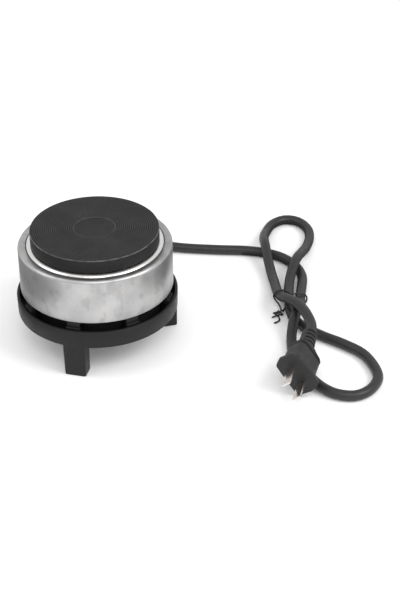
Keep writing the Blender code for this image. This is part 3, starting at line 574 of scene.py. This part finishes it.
# %% [markdown]
# A polished ring fills the gap between the plate and the shell and keeps spills out. It is a thin
# rolled section with rounded shoulders, so its outline is spun and its corners are softened.

# %% The spill ring
RING_IN, RING_OUT = 43.9 * MM, 48.1 * MM
RING_LOW, RING_TOP = 74.4 * MM, 76.9 * MM
ring = spun("spill_ring_polished",
            [(RING_IN, RING_TOP), (46.2 * MM, RING_TOP), (47.4 * MM, 76.4 * MM), (RING_OUT, 75.6 * MM),
             (RING_OUT, RING_LOW), (RING_IN, RING_LOW)], loop=True)
shade(soften(ring, 0.25 * MM), 50)
dress(ring, steel_bright, "hot_plate", "polished_steel", "spill_ring")

# %% [markdown]
# The shell is one sheet, deep drawn: a flat top, a tight shoulder and a straight side, with an inner
# ledge that carries the ring. The outer face is spun, then Solidify gives it the sheet's thickness.

# %% The shell
SHELL_RADIUS = 54 * MM
SHELL_LIP = 76 * MM
SHOULDER = 2.2 * MM
SHOULDER_STEPS = 8
SHELL_LOW = 43 * MM
SHEET = 0.7 * MM
LEDGE = 74.1 * MM
SEAM = 48.4 * MM
outline = [(41.9 * MM, LEDGE), (SEAM - 0.4 * MM, LEDGE), (SEAM - 0.1 * MM, LEDGE + 0.12 * MM),
           (SEAM, LEDGE + 0.4 * MM), (SEAM, SHELL_LIP - 0.4 * MM),
           (SEAM + 0.12 * MM, SHELL_LIP - 0.12 * MM), (SEAM + 0.4 * MM, SHELL_LIP)]
for n in range(SHOULDER_STEPS + 1):
    a = math.radians(90 - 90 / SHOULDER_STEPS * n)
    outline.append((SHELL_RADIUS - SHOULDER + SHOULDER * math.cos(a),
                    SHELL_LIP - SHOULDER + SHOULDER * math.sin(a)))
outline += [(SHELL_RADIUS, SHELL_LOW + 0.5 * MM), (SHELL_RADIUS - 0.15 * MM, SHELL_LOW + 0.15 * MM),
            (SHELL_RADIUS - 0.4 * MM, SHELL_LOW)]
shell = spun("steel_shell", outline)
use_modifier(shell, "SOLIDIFY", thickness=SHEET, offset=-1)
shade(shell, 35)
dress(shell, steel_satin, "hot_plate", "satin_stainless", "shell")

# %% [markdown]
# The base is one moulding: a shallow dish with a chamber wall, eight spacer blocks that hold the shell
# up and let air through, three legs, three screw bosses, and slots in its floor. Each feature is made
# once, copied round the circle, and joined to the dish with a boolean, as a toolmaker adds pockets.

# %% The base dish
BASE_RADIUS = 57 * MM
BASE_TOP = 37.4 * MM
BASE_LOW = 24.4 * MM
FLOOR_TOP = 27.2 * MM
RIM_IN = 54.8 * MM
CHAMBER_IN, CHAMBER_OUT, CHAMBER_TOP = 46 * MM, 47.4 * MM, 43.7 * MM
dish = spun("moulded_base",
            [(0, FLOOR_TOP), (CHAMBER_IN, FLOOR_TOP), (CHAMBER_IN, CHAMBER_TOP), (CHAMBER_OUT, CHAMBER_TOP),
             (CHAMBER_OUT, FLOOR_TOP), (RIM_IN, FLOOR_TOP), (RIM_IN, BASE_TOP), (BASE_RADIUS, BASE_TOP),
             (BASE_RADIUS - 0.3 * MM, BASE_LOW), (0, BASE_LOW)])
soften(dish, 0.5 * MM, 3)
print("dish:", len(dish.data.polygons), "faces")

# %% [markdown]
# A spacer block is a stepped post: its tall inner half carries the shell, and its low outer half is a
# ledge level with the rim. The mould fills it from the floor up. Two softened cubes that overlap make
# the step, and both are copied round the circle.

# %% Spacer blocks
BLOCK_COUNT = 8
BLOCK_ANGLE = -15
step = block("spacer", (9.2 * MM, 5.8 * MM, 15.5 * MM), (0, -49.9 * MM, 34.95 * MM))
soften(step, 0.4 * MM)
ledge = soften(block("spacer_ledge", (10 * MM, 4.1 * MM, 12 * MM), (0, -52.05 * MM, 32.4 * MM)), 0.4 * MM)
spacers = copies(step, BLOCK_COUNT, BLOCK_ANGLE) + copies(ledge, BLOCK_COUNT, BLOCK_ANGLE)
print(len(spacers), "halves of spacer blocks")

# %% [markdown]
# A leg is a cube to start with. Its long edges are rounded, and its foot is drawn in a little, because
# a moulding needs a slight taper to leave its mould.

# %% Legs
LEG_ANGLE = -14.5
LEG_SIZE = (16 * MM, 11 * MM, 26.6 * MM)
LEG_Y = -50.9 * MM


def upright(edge):
    """Whether an edge runs up rather than across."""
    return abs(edge.verts[0].co.z - edge.verts[1].co.z) > MM


leg = block("leg", LEG_SIZE, (0, LEG_Y, LEG_SIZE[2] / 2))
pick(leg, "EDGE", upright)
bpy.ops.mesh.bevel(offset=1.3 * MM, segments=5)
pick(leg, "FACE", lambda face: face.normal.z < -0.9)
bpy.ops.transform.resize(value=(0.95, 0.96, 1), center_override=(0, LEG_Y, 0))
pick(leg, "EDGE", lambda edge: all(vert.co.z < MM for vert in edge.verts))
bpy.ops.mesh.bevel(offset=0.7 * MM, segments=3)
bpy.ops.object.mode_set(mode="OBJECT")
legs = copies(leg, 3, LEG_ANGLE)
print(len(legs), "legs")

# %% [markdown]
# Three hollow pillars take the screws that hold the shell. Turned solid first, they are joined to the
# dish together with the legs and blocks in one boolean, so that no seams are left inside.

# %% Bosses, and one solid for the base
SCREW_CIRCLE = 43 * MM
SCREW_ANGLE = 20


def stud(name, radius, low, high, sides=32):
    """An upright cylinder at the front of the screw circle."""
    clear_selection()
    bpy.ops.mesh.primitive_cylinder_add(vertices=sides, radius=radius, depth=high - low,
                                        location=(0, -SCREW_CIRCLE, (low + high) / 2))
    return fresh(name)


bosses = copies(stud("boss", 4 * MM, 26 * MM, 44.1 * MM), 3, SCREW_ANGLE)
combine(dish, merged(spacers + legs + bosses), "UNION")
print("base:", len(dish.data.polygons), "faces")

# %% [markdown]
# The floor has a ring of slots that lets cool air in, the bosses are drilled and counterbored from
# below, and the rim has a hole for the lead. All the cutters are joined and taken away at once.

# %% Holes in the base
SLOT_COUNT = 12
HEAD_SEAT = 29.6 * MM
slot_cut = block("slot", (3 * MM, 14 * MM, 10 * MM), (0, -22 * MM, 25 * MM))
pick(slot_cut, "EDGE", upright)
bpy.ops.mesh.bevel(offset=1.45 * MM, segments=5)
bpy.ops.object.mode_set(mode="OBJECT")
cuts = copies(slot_cut, SLOT_COUNT, LEG_ANGLE)
cuts += copies(stud("screw_way", 1.8 * MM, 20 * MM, 46 * MM), 3, SCREW_ANGLE)
cuts += copies(stud("head_way", 3.1 * MM, 20 * MM, HEAD_SEAT), 3, SCREW_ANGLE)
clear_selection()
bpy.ops.mesh.primitive_cylinder_add(vertices=48, radius=4.8 * MM, depth=20 * MM,
                                    location=(0, 55 * MM, CORD_HEIGHT), rotation=(math.radians(90), 0, 0))
cuts.append(fresh("cord_way"))
combine(dish, merged(cuts), "DIFFERENCE")
shade(dish, 32)
dress(dish, black_plastic, "hot_plate", "black_moulding", "base")

# %% [markdown]
# The sleeve where the lead leaves the base keeps it from bending sharply. It tapers towards the lead
# and is cut by slots from two sides, so that it can flex. A plain ringed sleeve is spun first; then the
# faces of each slot are selected by their place and pushed in.

# %% Ringed sleeves
def ringed_sleeve(name, ends, radii, slots, slot_width, depth, half_angle, inner=0.0):
    """A tapering sleeve along Z between two ends, with slots cut in from both sides along Y."""
    low, high = ends
    wide, narrow = radii
    pitch = (high - low) / (slots + 0.6)
    stops = [low]
    for n in range(slots):
        middle = low + pitch * (n + 0.9)
        stops += [middle - slot_width / 2, middle + slot_width / 2]
    stops.append(high)
    outer = [(wide + (narrow - wide) * (z - low) / (high - low), z) for z in stops]
    hollow = [(inner, high), (inner, low)]
    piece = spun(name, outer + hollow, 64, loop=True)
    for n in range(slots):
        first, last = stops[2 * n + 1], stops[2 * n + 2]

        def in_slot(face):
            spot = face.calc_center_median()
            angle = abs(math.degrees(math.atan2(spot.x, spot.y)))
            near = min(angle, 180 - angle) < half_angle
            return near and first < spot.z < last and spot.xy.length > inner + MM
        take(piece)
        pick(piece, "FACE", in_slot)
        bpy.ops.mesh.extrude_region_shrink_fatten(TRANSFORM_OT_shrink_fatten={"value": -depth})
        bpy.ops.object.mode_set(mode="OBJECT")
    return piece


print("a sleeve is ready to be used twice")

# %% [markdown]
# At the base the sleeve starts with a collar that snaps into the rim's hole: a groove as wide as the
# wall, and a flange on each side of it. The collar is spun and merged with the sleeve.

# %% Strain relief
relief = ringed_sleeve("cord_sleeve", (57.3 * MM, RELIEF_END), (6.6 * MM, 4.9 * MM), 5, 1.3 * MM, 1.3 * MM,
                       62, inner=3.8 * MM)
BORE, NECK, INNER_LIP, OUTER_LIP = 4 * MM, 4.5 * MM, 4.8 * MM, 6.9 * MM
collar = spun("sleeve_collar",
              [(BORE, 52 * MM), (INNER_LIP, 52 * MM), (INNER_LIP, 53.9 * MM), (NECK, 53.9 * MM),
               (NECK, 57.3 * MM), (OUTER_LIP, 57.3 * MM), (OUTER_LIP, 58.9 * MM), (6.2 * MM, 59.5 * MM),
               (BORE, 59.5 * MM)], 64, loop=True)
soften(relief, 0.2 * MM, 2, 40)
soften(collar, 0.3 * MM, 2, 40)
merged([relief, collar])
settle(relief, Matrix.Translation((0, 0, CORD_HEIGHT)) @ Matrix.Rotation(math.radians(-90), 4, "X"))
dress(shade(relief, 40), plug_rubber, "hot_plate", "black_rubber", "strain_relief")

# %% [markdown]
# The plug is moulded onto the lead: an angular flange to pull it by, a grip, a ridge with two slots
# behind it, and a ringed sleeve. The flange is one flat outline, extruded and softened.

# %% The plug's flange
FLANGE = [(-15.8, -4), (-12.6, -8.6), (11.8, -8.9), (15, -5.8), (15.9, 2), (13, 9.4), (3, 10.8),
          (-11.6, 9.6), (-15.4, 4)]
FLANGE_DEPTH = 4 * MM

clear_selection()
bpy.ops.mesh.primitive_circle_add(vertices=len(FLANGE), radius=10 * MM, fill_type="NGON")
flange = fresh("plug_flange")
for vert, (x, y) in zip(flange.data.vertices, FLANGE):
    vert.co = (x * MM, y * MM, 0)
bpy.ops.object.mode_set(mode="EDIT")
bpy.ops.mesh.select_all(action="SELECT")
bpy.ops.mesh.extrude_region_move(TRANSFORM_OT_translate={"value": (0, 0, -FLANGE_DEPTH)})
bpy.ops.mesh.select_all(action="SELECT")
bpy.ops.mesh.normals_make_consistent(inside=False)
pick(flange, "EDGE", upright)
bpy.ops.mesh.bevel(offset=1.1 * MM, segments=3)
bpy.ops.object.mode_set(mode="OBJECT")
soften(flange, 0.6 * MM, 3, 50)
print("flange:", len(flange.data.polygons), "faces")

# %% [markdown]
# The grip is one loop of points that is extruded back and resized at each station, like rings of
# clay. Its right side is then pulled out a little towards the back, where fingers push against it.

# %% The plug's grip and sleeve
STATIONS = [
    (0, 12.8, 9.2), (3.8, 12.8, 9.2), (4.4, 12, 8.6), (6, 11.4, 8.2), (14, 10.9, 7.7), (23.6, 10.4, 7.2),
    (23.9, 10.1, 6.3), (24.7, 10.1, 6.3), (25, 10.5, 7.5), (26, 10.5, 7.5), (26.3, 10.2, 6.4),
    (27, 10.2, 6.4), (27.3, 10.3, 7.2), (28.2, 9.9, 6.9), (30, 8, 6.4), (32.4, 6, 5.6), (34, 4.8, 4.8),
]
SQUARENESS = 5
PULLS = ((-10, -16, 0.9), (-22, -29, 2.2))


def rounded_square(angle, power):
    """A point on a square with very round corners, one unit across each way."""
    x, y = math.cos(angle), math.sin(angle)
    return math.copysign(abs(x) ** (2 / power), x), math.copysign(abs(y) ** (2 / power), y)


clear_selection()
bpy.ops.mesh.primitive_circle_add(vertices=48, radius=MM, fill_type="NGON")
grip = fresh("plug_grip")
for vert in grip.data.vertices:
    x, y = rounded_square(math.atan2(vert.co.y, vert.co.x), SQUARENESS)
    vert.co = (x * STATIONS[0][1] * MM, y * STATIONS[0][2] * MM, -MM)
bpy.ops.object.mode_set(mode="EDIT")
bpy.ops.mesh.select_all(action="SELECT")
for (z0, x0, y0), (z1, x1, y1) in zip(STATIONS, STATIONS[1:]):
    back = (z1 - z0) * MM if z0 else (z1 - 1) * MM
    bpy.ops.mesh.extrude_region_move(TRANSFORM_OT_translate={"value": (0, 0, -back)})
    bpy.ops.transform.resize(value=(x1 / x0, y1 / y0, 1), center_override=(0, 0, 0))
bpy.ops.mesh.select_all(action="SELECT")
bpy.ops.mesh.normals_make_consistent(inside=False)
for front, back, pull in PULLS:
    pick(grip, "VERT", lambda vert: back * MM < vert.co.z < front * MM and vert.co.x > 5 * MM)
    bpy.ops.transform.translate(value=(pull * MM, 0, 0))
bpy.ops.object.mode_set(mode="OBJECT")
sleeve = ringed_sleeve("plug_sleeve", (30 * MM, PLUG_LENGTH), (6.2 * MM, 5.2 * MM), 4, 1.6 * MM, 1.5 * MM,
                       66, inner=MM)
soften(sleeve, 0.2 * MM, 2, 40)
settle(sleeve, Matrix.Rotation(math.radians(180), 4, "X"))
plug = merged([flange, grip, sleeve])
plug.name = plug.data.name = "plug_moulding"
settle(plug, plug_frame())
dress(shade(plug, 35), plug_rubber, "hot_plate", "black_rubber", "plug_body")

# %% [markdown]
# Two flat blades stand out of the plug's face. Each is a strip cut from sheet, with its tip chamfered
# on both broad faces so that it finds its slot, and its long edges barely broken.

# %% Blades
BLADE = (1.5 * MM, 6.35 * MM, 24.7 * MM)
BLADE_TIP = 18.2 * MM
BLADE_SPACING = 12.7 * MM


def blade(name, side):
    """One blade, left or right of the plug's axis."""
    made = block(name, BLADE, (side * BLADE_SPACING / 2, 0, BLADE_TIP - BLADE[2] / 2))
    pick(made, "EDGE", lambda edge: all(vert.co.z > 16 * MM for vert in edge.verts)
         and abs(edge.verts[0].co.y - edge.verts[1].co.y) > MM)
    bpy.ops.mesh.bevel(offset=0.5 * MM, segments=1)
    pick(made, "EDGE", lambda edge: abs(edge.verts[0].co.z - edge.verts[1].co.z) > 10 * MM)
    bpy.ops.mesh.bevel(offset=0.12 * MM, segments=2)
    bpy.ops.object.mode_set(mode="OBJECT")
    settle(made, plug_frame())
    return shade(made, 30)


blade_left = dress(blade("blade_left", -1), nickel, "hot_plate", "nickel_plate", "plug_blade_left")
blade_right = dress(blade("blade_right", 1), nickel, "hot_plate", "nickel_plate", "plug_blade_right")

# %% [markdown]
# The tie is a coated wire, looped round three runs of the lead. Its two ends are twisted together and
# then left bent, as they come from a packing bench.

# %% The wire tie
TIE_RADIUS = 0.6 * MM
TIE_LOOP = [
    (132, 21.6, 1.6), (132.2, 23.4, 3.2), (130.5, 25.4, 6), (127.5, 27, 9.6), (126.9, 27.2, 12.6),
    (128.8, 27, 16), (132.6, 27.2, 17.1), (136.2, 28.4, 15), (139.9, 30.4, 11.6), (144.8, 31.8, 11),
    (149.9, 32.4, 9.8), (151.8, 32.8, 6), (150.9, 33, 2.2), (147.8, 32.8, 0.9), (138, 31, 0.8),
    (135.2, 27, 0.8), (133.9, 23.6, 0.9),
]
TIE_ENDS = [
    [(132, 21.6, 1.6), (131, 22.4, 0.8), (130, 21.6, 1.5), (129.1, 22.3, 0.8), (126.5, 20.8, 0.8)],
    [(133.9, 23.6, 0.9), (132.2, 22.4, 2.4), (131.4, 21.2, 0.8), (130.4, 22.6, 2), (129.4, 21.2, 0.8),
     (132.2, 20.6, 1.6), (133.2, 18.8, 0.8), (130.4, 17.4, 1.6), (125.3, 15.4, 0.8)],
    [(129.4, 21.2, 0.8), (127.8, 18.9, 0.8), (130, 16.9, 0.7), (130.7, 12.4, 0.7), (129.4, 10, 0.7),
     (126.7, 8.1, 0.7)],
]
strands = []
for n, points in enumerate([TIE_LOOP] + TIE_ENDS):
    path = smooth_path([Vector(point) * MM for point in points], 1.2 * MM)
    strands.append(take(wire(f"tie_part_{n}", path, TIE_RADIUS, 4)))
    bpy.ops.object.convert(target="MESH")
tie = merged(strands)
tie.name = tie.data.name = "wire_tie"
dress(shade(tie, 40), tie_coat, "hot_plate", "tie_plastic", "twist_tie")

# %% [markdown]
# Three pan-head screws hold the shell from below. A head is turned, then a cross is cut into it with
# two thin blocks. They can only be seen from underneath, so the thread is left plain.

# %% Base screws
SHANK, HEAD = 1.5 * MM, 2.8 * MM
SCREW_OUTLINE = [
    (0, 18 * MM), (1.2 * MM, 18 * MM), (SHANK, 17.6 * MM), (SHANK, 0), (HEAD, 0), (HEAD, -0.7 * MM),
    (2.5 * MM, -1.3 * MM), (1.7 * MM, -1.75 * MM), (0, -1.9 * MM),
]
CROSS = ((2.6 * MM, 0.5 * MM, 2 * MM), (0.5 * MM, 2.6 * MM, 2 * MM))


def cross_screw():
    """A screw at the front of the screw circle, with its head down."""
    body = spun("screw", SCREW_OUTLINE, 48)
    arms = [block("arm", size, (0, 0, -1.6 * MM)) for size in CROSS]
    combine(body, merged(arms), "DIFFERENCE")
    return settle(body, Matrix.Translation((0, -SCREW_CIRCLE, HEAD_SEAT)))


for n, screw in enumerate(copies(cross_screw(), 3, SCREW_ANGLE), 1):
    screw.name = screw.data.name = f"base_fixing_{n}"
    dress(shade(screw, 35), zinc, "hot_plate", "zinc_plated_steel", f"base_screw_{n}")

# %% [markdown]
# Everything that stays as the CAD made it gets its finish by name. These parts are inside, and show
# only through the slots, so their shapes need no more work.

# %% Finishes for the inner parts
INNER = {
    zinc: ["plate_back_cover", "clamp_bridge", "spring_washer", "clamp_nut", "centre_stud", "heat_shield",
           "shell_floor", "clamp_screw_1", "clamp_screw_2", "thermostat_cap"],
    nickel: ["heating_coil", "heater_pin_inner", "heater_pin_outer"],
    cement: ["cement_filling"],
    steatite: ["pin_insulator_inner", "pin_insulator_outer", "thermostat_body", "transfer_pin",
               "terminal_block"],
    bimetal: ["bimetal_disc"],
    brass: ["thermostat_contact_left", "thermostat_contact_right", "contact_arm", "terminal_screw_1",
            "terminal_screw_2", "terminal_screw_3", "terminal_screw_4"],
    brown_sleeve: ["live_lead", "live_thermostat_wire", "thermostat_heater_wire"],
    blue_sleeve: ["neutral_lead", "neutral_heater_wire"],
    cord_rubber: ["cord_tail"],
    black_plastic: ["cord_clamp", "clamp_saddle"],
}
for made, names in INNER.items():
    for name in names:
        nodes[name].data.materials.clear()
        nodes[name].data.materials.append(made)
print(sum(len(names) for names in INNER.values()), "inner parts have a finish")

# %% [markdown]

# %% [markdown]
# The stage is a pale floor that runs far behind, under an even sky. It glows very slightly, which
# keeps it white round the dark object. White surroundings flatten the steel, so the panels and cards
# of the next step shape it.

# %% Floor and sky
clear_selection()
bpy.ops.mesh.primitive_plane_add(size=12, location=(0, 0, 0))
floor = fresh("studio_floor")
floor_paint = finish("pale_studio_floor", "#f4f4f4", 0.9, Emission_Color=(1, 1, 1, 1),
                     Emission_Strength=0.06)
floor.data.materials.append(floor_paint)

sky = bpy.data.worlds.new("soft_studio")
bpy.context.scene.world = sky
sky.use_nodes = True
sky.node_tree.nodes["Background"].inputs["Color"].default_value = linear("#ffffff")
sky.node_tree.nodes["Background"].inputs["Strength"].default_value = 0.8
print("stage:", floor.name, sky.name)

# %% [markdown]
# Three large panels light the hot plate as softboxes do. The strongest stands at the front right, and
# weaker ones stand at the left and in front. A grey card on the table at each side gives the polished
# steel something dark to mirror at its edges.

# %% Panels and cards
AIM = Vector((0.05, 0, 0.05))


def panel(name, place, size, power):
    """A large soft light that faces the middle of the hot plate."""
    clear_selection()
    bpy.ops.object.light_add(type="AREA", location=place)
    light = bpy.context.object
    light.name = name
    light.data.shape = "SQUARE"
    light.data.size = size
    light.data.energy = power
    light.rotation_euler = (AIM - Vector(place)).to_track_quat("-Z", "Y").to_euler()
    return light


panel("left_panel", (-0.9, -0.1, 0.9), 0.7, 3)
panel("right_panel", (0.95, -0.45, 1.0), 0.7, 9)
panel("front_panel", (0.1, -1.0, 1.3), 0.6, 5)


def flag(name, low, high, colour):
    """A grey card on the table, from one corner to the other, that only polished parts see."""
    clear_selection()
    middle = ((low[0] + high[0]) / 2, (low[1] + high[1]) / 2, 0.5 * MM)
    bpy.ops.mesh.primitive_plane_add(size=1, location=middle)
    bpy.context.object.scale = (high[0] - low[0], high[1] - low[1], 1)
    card = fresh(name)
    card.data.materials.append(finish(f"{name}_card", colour, 0.9))
    card.visible_camera = card.visible_diffuse = card.visible_shadow = False
    return card


flag("left_flag", (-0.35, -0.13), (-0.09, 0.25), "#8a8a8a")
flag("right_flag", (0.105, 0.0), (0.35, 0.3), "#808080")

bpy.context.scene.view_settings.view_transform = "Standard"
print("three panels and two cards")
